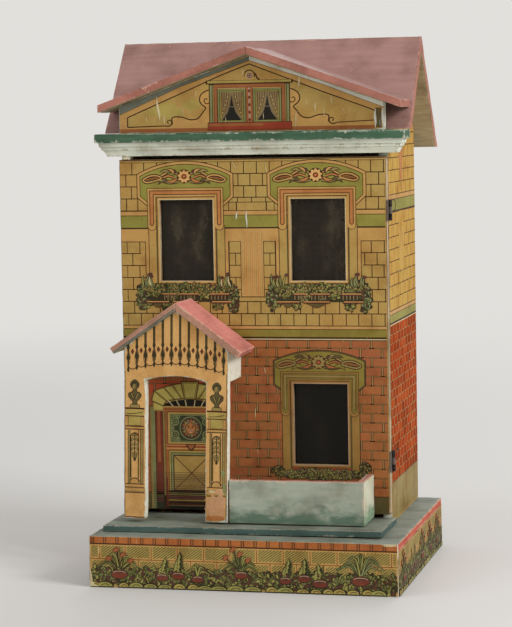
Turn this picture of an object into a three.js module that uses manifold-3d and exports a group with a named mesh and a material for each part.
// An opening-front toy house: a papered wooden box of two rooms under a steep roof, on a hollow base.
// The whole front, with its porch and low garden wall, swings on two small hinges at its right edge.
// Millimetres, +Z up, the front faces -Y. The origin is the middle of the base's underside.
import * as THREE from 'three';
import { mergeVertices } from 'three/addons/utils/BufferGeometryUtils.js';
import Module from 'manifold-3d';

const wasm = await Module();
wasm.setup();

// Clearance of a piece that is cut to a slope, stands in a leaning group or passes another
const seatGap = 0.3;

// Hollow base
const baseWidth = 270;
const baseDepth = 230;
const baseSideHeight = 38;
const baseBoard = 8;
const baseTopThickness = 6.4;
const houseShift = -7; // the house stands a little to the left of the base's middle
const baseLedge = 87.5; // from the base's front edge back to the house front

// Step slab, a board that has lifted at its front edge
const slabThickness = 5;
const slabReach = 66; // in front of the house front
const slabPastLeft = 2;
const slabPastRight = 4;
const slabLiftLeft = 0.3;
const slabLiftRight = 1.2;

// House body
const houseWidth = 240;
const houseDepth = 143; // with the front
const wallThickness = 8;
const backThickness = 6;
const floorThickness = 5;
const lowerRoomHeight = 158;
const upperFloorThickness = 6;
const atticFloorThickness = 7;
const railThickness = 8;

// Opening front
const frontThickness = 8;
const frontHeight = 312;
const frontAboveSlab = 4.1;
const frontGap = 0.5; // between the closed front and the edges of the walls
const corniceGap = 3.2; // between the top of the front and the cornice

// Windows in the front: openings, and the rebates that hold their glass
const windowWidth = 48.5;
const windowHeight = 71.5;
const windowFromSide = 60.8; // from the side of the front to the middle of an opening
const upperSillFromTop = 107.3;
const lowerSillFromBottom = 42.8;
const rebateMargin = 5;
const rebateDepth = 4;
const glassThickness = 1.6;
const glassFrameWidth = 4;
const glassClearance = 0.3;

// Cornice: a crown moulding with a painted cap board on it
const mouldingHeight = 12.1;
const mouldingDrawIn = 6.5; // how much narrower the moulding is at its foot
const mouldingFoot = 3.5; // in front of the house front, at the foot
const mouldingFootSide = 9.6; // past the side walls, at the foot
const capThickness = 7.7;
const capOverMoulding = 2.6;
const returnLength = 15; // behind the house front
const blockWidth = 7.3;
const blockFromSide = 3.2;

// Main roof, with its ridge across the house
const roofThickness = 8;
const roofSideOverhang = 18.1;
const ridgeAboveCap = 82;
const ridgeFromFront = 85.5;
const frontEaveFromFront = 17.3;
const backEaveOverhang = 24.6;
const backEaveBelowCap = 17.8;

// Cross gable over the front
const gableWidth = 270.6;
const gableRise = 48.2;
const gableApexAboveCap = 73.7;
const gableReach = 12; // in front of the house front
const gableBoard = 6.3;
const pedimentThickness = 8;
const pedimentInset = 1;

// Porch, which has leaned over to the right with age
const porchLean = THREE.MathUtils.degToRad(1.5);
const porchWidth = 93.4;
const porchFromSide = 11.3;
const porchReach = 47;
const porchFootGap = 2.9; // above the slab, at the middle of the porch
const portalThickness = 9;
const columnWidth = 19.7;
const archSpring = 122;
const archRise = 4.5;
const porchApex = 190.9;
const porchPitch = THREE.MathUtils.degToRad(35.2);
const porchRoofHalfSpan = 59;
const porchRoofThickness = 6;
const porchRoofOverhang = 3;
const cheekThickness = 7;

// Low garden wall
const parapetHeight = 37.7;
const parapetThickness = 6.7;
const parapetReach = 46;
const parapetFootGap = 1.6; // above the slab
const parapetFromSide = 14.3;
const parapetToPorch = 1;

// Hinges
const hingeHeight = 18;
const hingeUpperFromTop = 55.7; // down to the upper hinge's lower end
const hingeLowerFromBottom = 37;
const leafThickness = 0.8;
const leafWidth = 7.4;
const knuckleRadius = 1.6;
const pinRadius = 0.9;
const pinClearance = 0.1;
const knuckleGap = 0.2;
const leafToKnuckles = 0.6;

// Levels, from the underside of the base
const baseHeight = baseSideHeight + baseTopThickness;
const slabTop = baseHeight + slabThickness;
const frontBottom = slabTop + frontAboveSlab;
const frontTop = frontBottom + frontHeight;
const corniceBottom = frontTop + corniceGap;
const capBottom = corniceBottom + mouldingHeight;
const capTop = capBottom + capThickness;
const floorTop = baseHeight + floorThickness;

// Places in the house's own frame: x from its middle, y from the outer face of the closed front
const half = houseWidth / 2;
const room = half - wallThickness;
const wallFront = frontThickness + frontGap;
const backInside = houseDepth - backThickness;

const finish = (color, roughness, metalness = 0) =>
  new THREE.MeshStandardMaterial({ color, roughness, metalness });
const finishes = {
  frontPaper: finish(0xb4964b, 0.55),
  wallPaper: finish(0xc08a4a, 0.55),
  porchPaper: finish(0xc89b5a, 0.55),
  basePaper: finish(0x9a8a4a, 0.6),
  rosePaint: finish(0xa5786f, 0.6),
  salmonPaint: finish(0xe18c82, 0.55),
  tealPaint: finish(0x5a7670, 0.6),
  greenPaint: finish(0x3c6e55, 0.5),
  whitePaint: finish(0xc8cdbe, 0.5),
  wallPaint: finish(0xa0aa9b, 0.6),
  bareWood: finish(0xa08662, 0.8),
  glass: finish(0x2c2c28, 0.1),
  iron: finish(0x3a322c, 0.5, 0.8),
};

function named(name, geometry, material) {
  const mesh = new THREE.Mesh(geometry, material);
  mesh.name = name;
  return mesh;
}

function block([x0, x1], [y0, y1], [z0, z1]) {
  const geometry = new THREE.BoxGeometry(x1 - x0, y1 - y0, z1 - z0);
  return geometry.translate((x0 + x1) / 2, (y0 + y1) / 2, (z0 + z1) / 2);
}

function outlineShape(points) {
  return new THREE.Shape(points.map(([u, v]) => new THREE.Vector2(u, v)));
}

// A board with its outline in the X-Z plane
function boardXZ(shape, [y0, y1]) {
  const geometry = new THREE.ExtrudeGeometry(shape, { depth: y1 - y0, bevelEnabled: false, curveSegments: 20 });
  return geometry.rotateX(Math.PI / 2).translate(0, y1, 0);
}

// A board with its outline in the Y-Z plane
function boardYZ(points, [x0, x1]) {
  const shape = outlineShape(points);
  const geometry = new THREE.ExtrudeGeometry(shape, { depth: x1 - x0, bevelEnabled: false });
  const turn = new THREE.Matrix4().makeBasis(
    new THREE.Vector3(0, 1, 0), new THREE.Vector3(0, 0, 1), new THREE.Vector3(1, 0, 0));
  return geometry.applyMatrix4(turn).translate(x0, 0, 0);
}

// A bar of one section whose two ends are placed point by point, for mitres and slanting cuts
function barBetween(points, placeStart, placeEnd) {
  const outline = points.map(([u, v]) => new THREE.Vector2(u, v));
  const section = THREE.ShapeUtils.isClockWise(outline) ? [...points].reverse() : points;
  const count = section.length;
  const corners = [...section.map(placeStart), ...section.map(placeEnd)];
  const caps = THREE.ShapeUtils.triangulateShape(section.map(([u, v]) => new THREE.Vector2(u, v)), []);
  const faces = [];
  for (const [a, b, c] of caps) faces.push([a, c, b], [a + count, b + count, c + count]);
  for (let i = 0; i < count; i++) {
    const next = (i + 1) % count;
    faces.push([i, next, next + count], [i, next + count, i + count]);
  }
  const at = corners.map(([x, y, z]) => new THREE.Vector3(x, y, z));
  const volume = faces.reduce((sum, [a, b, c]) =>
    sum + at[a].dot(new THREE.Vector3().crossVectors(at[b], at[c])), 0);
  const outward = volume > 0 ? faces : faces.map(([a, b, c]) => [a, c, b]);
  const geometry = new THREE.BufferGeometry();
  geometry.setAttribute('position', new THREE.Float32BufferAttribute(corners.flat(), 3));
  geometry.setIndex(outward.flat());
  return geometry;
}

function toSolid(geometry) {
  const bare = geometry.clone();
  bare.deleteAttribute('normal');
  bare.deleteAttribute('uv');
  const merged = mergeVertices(bare);
  return new wasm.Manifold(new wasm.Mesh({
    numProp: 3,
    vertProperties: new Float32Array(merged.attributes.position.array),
    triVerts: new Uint32Array(merged.index.array),
  }));
}

function fromSolid(solid) {
  const { vertProperties, triVerts } = solid.getMesh();
  const geometry = new THREE.BufferGeometry();
  geometry.setAttribute('position', new THREE.Float32BufferAttribute(vertProperties, 3));
  geometry.setIndex(Array.from(triVerts));
  return geometry;
}

// The hollow base: four boards on edge, a bearer under the middle, and a top board over them
function makeBase() {
  const group = new THREE.Group();
  const x = baseWidth / 2;
  const y = baseDepth / 2;
  const tall = [0, baseSideHeight];
  const inner = [-y + baseBoard, y - baseBoard];
  const board = (name, xs, ys, material) => group.add(named(name, block(xs, ys, tall), material));
  board('base_front_board', [-x, x], [-y, -y + baseBoard], finishes.basePaper);
  board('base_back_board', [-x, x], [y - baseBoard, y], finishes.basePaper);
  board('base_left_board', [-x, -x + baseBoard], inner, finishes.basePaper);
  board('base_right_board', [x - baseBoard, x], inner, finishes.basePaper);
  board('base_middle_bearer', [-baseBoard / 2, baseBoard / 2], inner, finishes.bareWood);
  const top = block([-x, x], [-y, y], [baseSideHeight, baseHeight]);
  group.add(named('base_top_board', top, finishes.tealPaint));
  return group;
}

// How far the slab has lifted at a place: nothing at its back edge, most at its front right corner
function slabLift(x, y) {
  const across = (x + half + slabPastLeft) / (houseWidth + slabPastLeft + slabPastRight);
  const forward = (frontThickness - y) / (frontThickness + slabReach);
  return forward * THREE.MathUtils.lerp(slabLiftLeft, slabLiftRight, across);
}

function makeSlab() {
  const left = -half - slabPastLeft;
  const right = half + slabPastRight;
  const outline = [[left, -slabReach], [right, -slabReach], [right, frontThickness], [left, frontThickness]];
  const under = ([x, y]) => [x, y, baseHeight + slabLift(x, y)];
  const over = ([x, y]) => [x, y, slabTop + slabLift(x, y)];
  return named('step_slab', barBetween(outline, under, over), finishes.tealPaint);
}

// Main roof lines in the Y-Z plane
const ridgeHeight = capTop + ridgeAboveCap;
const frontEaveHeight = capTop + seatGap;
const backEaveHeight = capTop - backEaveBelowCap;
const backEaveY = houseDepth + backEaveOverhang;
const frontSlope = (ridgeHeight - frontEaveHeight) / (ridgeFromFront - frontEaveFromFront);
const backSlope = (ridgeHeight - backEaveHeight) / (backEaveY - ridgeFromFront);
const frontPlumb = roofThickness * Math.hypot(1, frontSlope);
const backPlumb = roofThickness * Math.hypot(1, backSlope);
const frontUnderside = (y) => ridgeHeight - (ridgeFromFront - y) * frontSlope - frontPlumb;
const backUnderside = (y) => ridgeHeight - (y - ridgeFromFront) * backSlope - backPlumb;
const frontSlopeY = (z) => frontEaveFromFront + (z - frontEaveHeight) / frontSlope;

// Walls that rise as gables under the roof
function makeWalls() {
  const group = new THREE.Group();
  const frontFoot = frontEaveFromFront + frontPlumb / frontSlope;
  const apex = Math.min(frontUnderside(ridgeFromFront), backUnderside(ridgeFromFront)) - seatGap;
  const gable = [
    [wallFront, baseHeight], [houseDepth, baseHeight],
    [houseDepth, backUnderside(houseDepth) - seatGap],
    [ridgeFromFront, apex],
    [frontFoot, capTop], [wallFront, capTop],
  ];
  group.add(named('left_wall', boardYZ(gable, [-half, -room]), finishes.wallPaper));
  group.add(named('right_wall', boardYZ(gable, [room, half]), finishes.wallPaper));
  const across = [-room, room];
  const deep = [wallFront, backInside];
  const backTop = backUnderside(houseDepth) - seatGap;
  const upper = floorTop + lowerRoomHeight;
  const board = (name, ys, zs, material = finishes.bareWood) =>
    group.add(named(name, block(across, ys, zs), material));
  board('back_wall', [backInside, houseDepth], [baseHeight, backTop], finishes.wallPaper);
  board('ground_floor', deep, [baseHeight, floorTop]);
  board('upper_floor', deep, [upper, upper + upperFloorThickness]);
  board('attic_floor', deep, [corniceBottom, corniceBottom + atticFloorThickness]);
  const rail = [wallFront, wallFront + railThickness];
  board('front_rail', rail, [corniceBottom + atticFloorThickness, capTop]);
  return group;
}

// The crown moulding is mitred at both corners and returns along the side walls
function makeCornice() {
  const group = new THREE.Group();
  const back = wallFront - seatGap;
  const side = half + seatGap;
  const stages = [ // share of the height, and share of the draw-in that is still to come
    [0, 1], [0.24, 0.78], [0.44, 0.55], [0.46, 0.38], [0.66, 0.3], [0.68, 0.14], [1, 0],
  ];
  const lip = mouldingFoot + mouldingDrawIn;
  const frontEdge = stages.map(([up, still]) =>
    [-(lip - mouldingDrawIn * still), corniceBottom + mouldingHeight * up]);
  const mitreX = (y) => half + mouldingFootSide - mouldingFoot - y;
  const frontSection = [[back, corniceBottom], ...frontEdge, [back, capBottom]];
  const front = barBetween(
    frontSection, ([y, z]) => [-mitreX(y), y, z], ([y, z]) => [mitreX(y), y, z]);
  group.add(named('cornice_moulding_front', front, finishes.whitePaint));

  const sideEdge = frontEdge.map(([y, z]) => [mitreX(y), z]);
  const sideSection = [[side, corniceBottom], ...sideEdge, [side, capBottom]];
  const mitreY = (x) => half + mouldingFootSide - mouldingFoot - x + seatGap;
  for (const [name, sign] of [['left', -1], ['right', 1]]) {
    const piece = barBetween(
      sideSection, ([x, z]) => [sign * x, mitreY(x), z], ([x, z]) => [sign * x, returnLength, z]);
    group.add(named(`cornice_return_${name}`, piece, finishes.whitePaint));
  }

  const wide = mitreX(-lip) + capOverMoulding;
  const proud = lip + capOverMoulding;
  const capOutline = outlineShape([
    [-wide, -proud], [wide, -proud], [wide, returnLength], [side, returnLength],
    [side, back], [-side, back], [-side, returnLength], [-wide, returnLength],
  ]);
  const cap = new THREE.ExtrudeGeometry(capOutline, { depth: capThickness, bevelEnabled: false });
  group.add(named('cornice_cap', cap.translate(0, 0, capBottom), finishes.greenPaint));

  const blockX = -half + blockFromSide;
  const closing = block([blockX, blockX + blockWidth], [-mouldingFoot / 2, frontThickness],
    [frontTop + seatGap, corniceBottom]);
  group.add(named('closing_block', closing, finishes.whitePaint));
  return group;
}

function makeMainRoof() {
  const group = new THREE.Group();
  const reach = half + roofSideOverhang;
  const joint = seatGap / 2;
  const top = (slope) => ridgeHeight - joint * slope;
  const front = [
    [frontEaveFromFront, frontEaveHeight],
    [frontEaveFromFront + frontPlumb / frontSlope, frontEaveHeight],
    [ridgeFromFront - joint, top(frontSlope) - frontPlumb],
    [ridgeFromFront - joint, top(frontSlope)],
  ];
  const back = [
    [backEaveY, backEaveHeight],
    [ridgeFromFront + joint, top(backSlope)],
    [ridgeFromFront + joint, top(backSlope) - backPlumb],
    [backEaveY - backPlumb / backSlope, backEaveHeight],
  ];
  group.add(named('roof_front', boardYZ(front, [-reach, reach]), finishes.rosePaint));
  group.add(named('roof_back', boardYZ(back, [-reach, reach]), finishes.rosePaint));
  return group;
}

// The cross gable: a pediment board on the cornice, and two boards that run back into the main roof
function makeCrossGable() {
  const group = new THREE.Group();
  const reach = gableWidth / 2;
  const slope = gableRise / reach;
  const plumb = gableBoard * Math.hypot(1, slope);
  const apex = capTop + gableApexAboveCap;
  const joint = seatGap / 2;
  const underside = (x) => apex - plumb - slope * x;
  const topAt = (x) => apex - slope * x;
  const section = [
    [joint, underside(joint)], [reach, underside(reach)], [reach, topAt(reach)], [joint, topAt(joint)],
  ];
  for (const [name, sign] of [['left', -1], ['right', 1]]) {
    const board = barBetween(section,
      ([x, z]) => [sign * x, -gableReach, z],
      ([x, z]) => [sign * x, frontSlopeY(z) - seatGap, z]);
    group.add(named(`gable_roof_${name}`, board, finishes.rosePaint));
  }
  const edge = half - pedimentInset;
  const face = outlineShape([
    [-edge, capTop], [edge, capTop], [edge, underside(edge) - seatGap],
    [0, underside(0) - seatGap], [-edge, underside(edge) - seatGap],
  ]);
  group.add(named('pediment_board', boardXZ(face, [0, pedimentThickness]), finishes.frontPaper));
  return group;
}

// Middles and sills of the three glazed openings
const windows = [
  { name: 'upper_left', x: -half + windowFromSide, sill: frontTop - upperSillFromTop },
  { name: 'upper_right', x: half - windowFromSide, sill: frontTop - upperSillFromTop },
  { name: 'lower', x: half - windowFromSide, sill: frontBottom + lowerSillFromBottom },
];

// A block centred on an opening, larger than it by a margin all round
function windowBlock({ x, sill }, margin, ys) {
  const reach = windowWidth / 2 + margin;
  return block([x - reach, x + reach], ys, [sill - margin, sill + windowHeight + margin]);
}

function makeFrontBoard() {
  const group = new THREE.Group();
  const through = [-1, frontThickness + 1];
  const rebateFace = frontThickness - rebateDepth;
  let board = toSolid(block([-half, half], [0, frontThickness], [frontBottom, frontTop]));
  for (const window of windows) {
    board = board.subtract(toSolid(windowBlock(window, 0, through)));
    board = board.subtract(toSolid(windowBlock(window, rebateMargin, [rebateFace, through[1]])));
  }
  group.add(named('front_board', fromSolid(board), finishes.frontPaper));

  const glassBack = rebateFace + glassThickness;
  for (const window of windows) {
    const outer = rebateMargin - glassClearance;
    const pane = windowBlock(window, outer, [rebateFace, glassBack]);
    group.add(named(`glass_${window.name}`, pane, finishes.glass));
    const frame = toSolid(windowBlock(window, outer, [glassBack + glassClearance, frontThickness]));
    const light = toSolid(windowBlock(window, outer - glassFrameWidth, [glassBack, through[1]]));
    group.add(named(`glass_frame_${window.name}`, fromSolid(frame.subtract(light)), finishes.bareWood));
  }
  return group;
}

// Heights in the porch are from its feet, and x is from its middle
function makePorch() {
  const group = new THREE.Group();
  group.position.set(-half + porchFromSide + porchWidth / 2, 0, slabTop + porchFootGap);
  group.rotation.y = porchLean;
  const edge = porchWidth / 2;
  const slope = Math.tan(porchPitch);
  const plumb = porchRoofThickness / Math.cos(porchPitch);
  const underside = (x) => porchApex - plumb - slope * x - seatGap;

  const gateHalf = edge - columnWidth;
  const radius = (gateHalf ** 2 + archRise ** 2) / (2 * archRise);
  const spread = Math.asin(gateHalf / radius);
  const portal = new THREE.Shape();
  portal.moveTo(-edge, 0);
  portal.lineTo(-gateHalf, 0);
  portal.lineTo(-gateHalf, archSpring);
  portal.absarc(0, archSpring + archRise - radius, radius, Math.PI / 2 + spread, Math.PI / 2 - spread, true);
  portal.lineTo(gateHalf, 0);
  portal.lineTo(edge, 0);
  portal.lineTo(edge, underside(edge));
  portal.lineTo(0, underside(0));
  portal.lineTo(-edge, underside(edge));
  const portalBack = -porchReach + portalThickness;
  group.add(named('portal_board', boardXZ(portal, [-porchReach, portalBack]), finishes.porchPaper));

  const joint = seatGap / 2;
  const topAt = (x) => porchApex - slope * x;
  for (const [name, sign] of [['left', -1], ['right', 1]]) {
    const inner = edge - cheekThickness;
    const cheek = outlineShape([
      [sign * inner, archSpring], [sign * edge, archSpring],
      [sign * edge, underside(edge)], [sign * inner, underside(inner)],
    ]);
    const cheekDepth = [portalBack, -seatGap];
    group.add(named(`porch_cheek_${name}`, boardXZ(cheek, cheekDepth), finishes.whitePaint));

    const end = porchRoofHalfSpan;
    const roof = outlineShape([
      [sign * joint, topAt(joint)], [sign * end, topAt(end)],
      [sign * (end - porchRoofThickness * Math.sin(porchPitch)),
        topAt(end) - porchRoofThickness * Math.cos(porchPitch)],
      [sign * joint, topAt(joint) - plumb],
    ]);
    const roofDepth = [-porchReach - porchRoofOverhang, -seatGap];
    group.add(named(`porch_roof_${name}`, boardXZ(roof, roofDepth), finishes.salmonPaint));
  }
  return group;
}

// The garden wall runs from the porch's right column, and turns back to the house front
function makeParapet() {
  const group = new THREE.Group();
  const left = -half + porchFromSide + porchWidth + parapetToPorch + parapetHeight * Math.sin(porchLean);
  const right = half - parapetFromSide;
  const foot = slabTop + parapetFootGap;
  const tall = [foot, foot + parapetHeight];
  const back = -parapetReach + parapetThickness;
  const front = block([left, right], [-parapetReach, back], tall);
  const turn = block([right - parapetThickness, right], [back, 0], tall);
  group.add(named('parapet_front', front, finishes.wallPaint));
  group.add(named('parapet_return', turn, finishes.wallPaint));
  return group;
}

// The hinge line stands just outside the right wall, level with the gap behind the front
const hingeX = half + knuckleRadius + knuckleGap;
const hingeY = frontThickness + frontGap / 2;
const hingeFeet = {
  upper: frontTop - hingeUpperFromTop,
  lower: frontBottom + hingeLowerFromBottom,
};

function upright(radius, [z0, z1]) {
  const cylinder = new THREE.CylinderGeometry(radius, radius, z1 - z0, 24);
  return cylinder.rotateX(Math.PI / 2).translate(hingeX, hingeY, (z0 + z1) / 2);
}

// One leaf: a plate on the wood, and the knuckles that join it round the pin
function hingeLeaf(direction, foot, spans) {
  const clear = knuckleRadius + leafToKnuckles;
  const ys = (near, far) => [hingeY + direction * near, hingeY + direction * far].sort((a, b) => a - b);
  const plateX = [half, half + leafThickness];
  let leaf = toSolid(block(plateX, ys(clear, clear + leafWidth - leafToKnuckles), [foot, foot + hingeHeight]));
  for (const span of spans) {
    leaf = leaf.add(toSolid(block(plateX, ys(frontGap / 2, clear + leafThickness), span)));
    leaf = leaf.add(toSolid(upright(knuckleRadius, span)));
  }
  const bore = toSolid(upright(pinRadius + pinClearance, [foot - 1, foot + hingeHeight + 1]));
  return fromSolid(leaf.subtract(bore));
}

function addHinges(house, front) {
  for (const [name, foot] of Object.entries(hingeFeet)) {
    const third = hingeHeight / 3;
    const middle = [foot + third + knuckleGap / 2, foot + 2 * third - knuckleGap / 2];
    const ends = [[foot, middle[0] - knuckleGap], [middle[1] + knuckleGap, foot + hingeHeight]];
    house.add(named(`hinge_leaf_wall_${name}`, hingeLeaf(1, foot, ends), finishes.iron));
    house.add(named(`hinge_pin_${name}`, upright(pinRadius, [foot, foot + hingeHeight]), finishes.iron));
    front.add(named(`hinge_leaf_front_${name}`, hingeLeaf(-1, foot, [middle]), finishes.iron));
  }
}

const house = new THREE.Group();
house.position.set(houseShift, -baseDepth / 2 + baseLedge, 0);
house.add(makeSlab(), makeWalls(), makeCornice(), makeMainRoof(), makeCrossGable());
const front = new THREE.Group();
front.add(makeFrontBoard(), makePorch(), makeParapet());
house.add(front);
addHinges(house, front);

const dollhouse = new THREE.Group();
dollhouse.add(makeBase(), house);

export default dollhouse;
